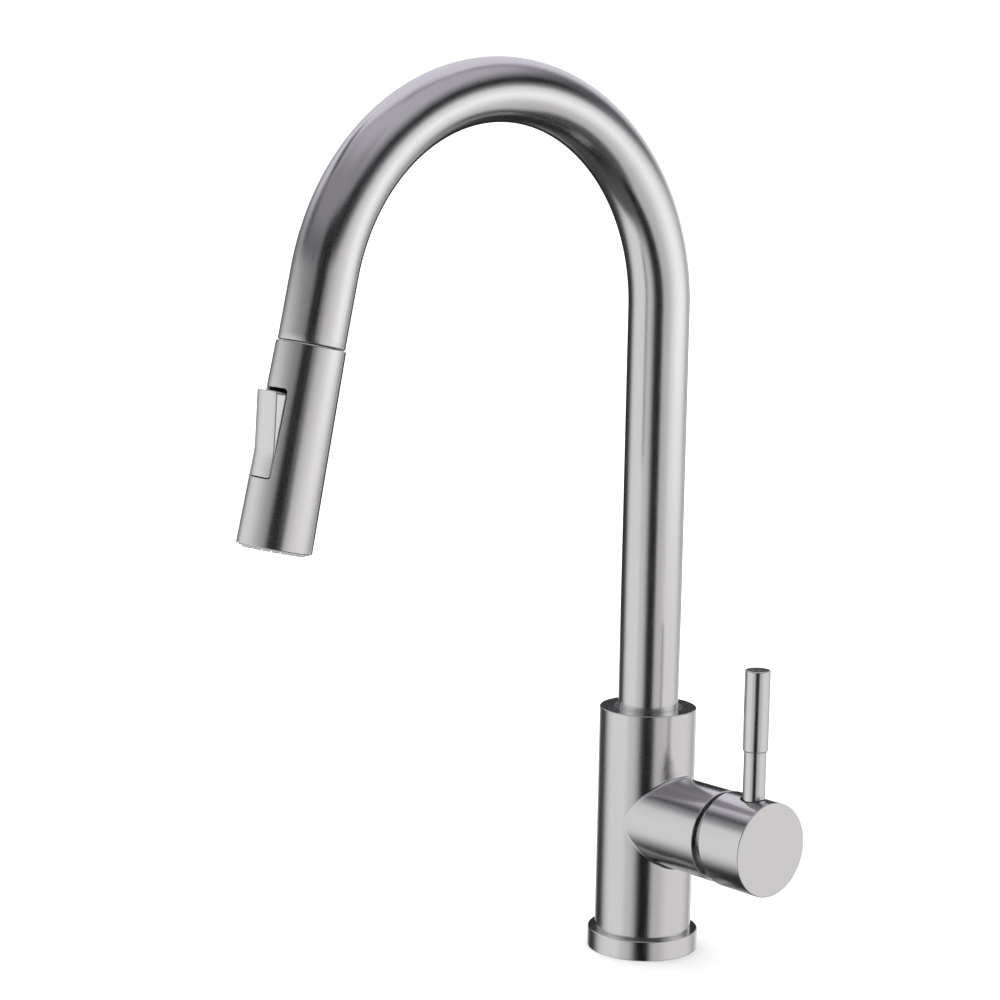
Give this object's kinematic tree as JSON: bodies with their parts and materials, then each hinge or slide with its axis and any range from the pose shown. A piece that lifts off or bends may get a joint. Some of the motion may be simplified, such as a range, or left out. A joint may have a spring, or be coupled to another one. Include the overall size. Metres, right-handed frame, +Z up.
{
  "type": "pull-down kitchen faucet",
  "caption": "High-arc kitchen faucet with a swivel spout, a pull-down spray head with a rocker button, and a side lever on a horizontal hub.",
  "frame": {"origin": "centre of the base on the deck plane, at the mouth of the shank thread", "axes": "+Z up, -Y the way the spout reaches, +X the side with the lever hub"},
  "size_m": [0.1065, 0.2563, 0.4112],
  "materials": {
    "nickel": "brushed nickel plate",
    "nickel_plastic": "plated satin",
    "spring_steel": "plain",
    "brass": "machined",
    "black_rubber": "matt",
    "grey_rubber": "matt",
    "grey_plastic": "moulded",
    "hose_braid": "woven sleeve over a rubber hose",
    "dark_plastic": "moulded",
    "white_plastic": "moulded",
    "blue_plastic": "moulded",
    "disc_ceramic": "lapped"
  },
  "bodies": {
    "base": {"valve_body": "nickel", "base_ring": "nickel", "base_gasket": "black_rubber", "retaining_ring": "nickel", "upper_bush": "white_plastic", "lower_bush": "white_plastic", "thrust_washer": "white_plastic", "cartridge_base": "dark_plastic", "port_seals": "black_rubber", "cartridge_housing": "dark_plastic", "fixed_disc": "disc_ceramic", "retaining_nut": "brass", "trim_cap": "nickel"},
    "spout": {"spout_tube": "nickel", "snap_ring": "spring_steel", "docking_collar": "dark_plastic", "pull_hose": "hose_braid"},
    "rotor": {"cartridge_rotor": "white_plastic", "pivot_pin": "spring_steel"},
    "mixing_disc": {"moving_disc": "disc_ceramic", "disc_carrier": "dark_plastic"},
    "handle": {"cartridge_stem": "brass", "handle_hub": "nickel", "lever_stem": "nickel", "lever_grip": "nickel", "set_screw": "spring_steel", "screw_plug": "nickel"},
    "hose_end": {"hose_ferrule": "brass", "hose_tail": "brass"},
    "spray_head": {"hose_nut": "brass", "hose_washer": "black_rubber", "head_inlet": "white_plastic", "check_valve": "blue_plastic", "spray_shell": "nickel", "diverter_body": "dark_plastic", "toggle_pin": "spring_steel", "nozzle_mat": "grey_rubber", "spray_face": "grey_plastic", "aerator": "white_plastic"},
    "rocker": {"toggle_button": "nickel_plastic"},
    "plunger": {"diverter_plunger": "blue_plastic", "plunger_seals": "black_rubber"}
  },
  "joints": [
    {"name": "spout_swivel", "type": "hinge", "parent": "base", "child": "spout", "pos_m": [0, 0, 0.0875], "axis": [0, 0, 1], "continuous": true},
    {"name": "handle_temperature", "type": "hinge", "parent": "base", "child": "rotor", "pos_m": [0.045, 0, 0.064], "axis": [1, 0, 0], "range_deg": [-50, 50]},
    {"name": "handle_flow", "type": "hinge", "parent": "rotor", "child": "handle", "pos_m": [0.045, 0, 0.064], "axis": [0, 1, 0], "range_deg": [0, 17]},
    {"name": "disc_slide", "type": "slide", "parent": "rotor", "child": "mixing_disc", "axis": [0, 0, 1], "range_m": [0, 0.0028]},
    {"name": "head_pull", "type": "slide", "parent": "spout", "child": "hose_end", "axis": [0, -0.2147, -0.9767], "range_m": [0, 0.45], "deforming": ["pull_hose"]},
    {"name": "head_spin", "type": "hinge", "parent": "hose_end", "child": "spray_head", "pos_m": [0, -0.19706, 0.29191], "axis": [0, -0.2147, -0.9767], "continuous": true},
    {"name": "spray_toggle", "type": "hinge", "parent": "spray_head", "child": "rocker", "pos_m": [0, -0.21398, 0.25498], "axis": [-1, 0, 0], "range_deg": [0, 8]},
    {"name": "diverter_slide", "type": "slide", "parent": "spray_head", "child": "plunger", "axis": [0, 0.9767, -0.2147], "range_m": [0, 0.002]}
  ],
  "couplings": [
    {"joint": "disc_slide", "follows": "handle_flow", "m_per_rad": 0.0093},
    {"joint": "diverter_slide", "follows": "spray_toggle", "m_per_rad": 0.014}
  ]
}
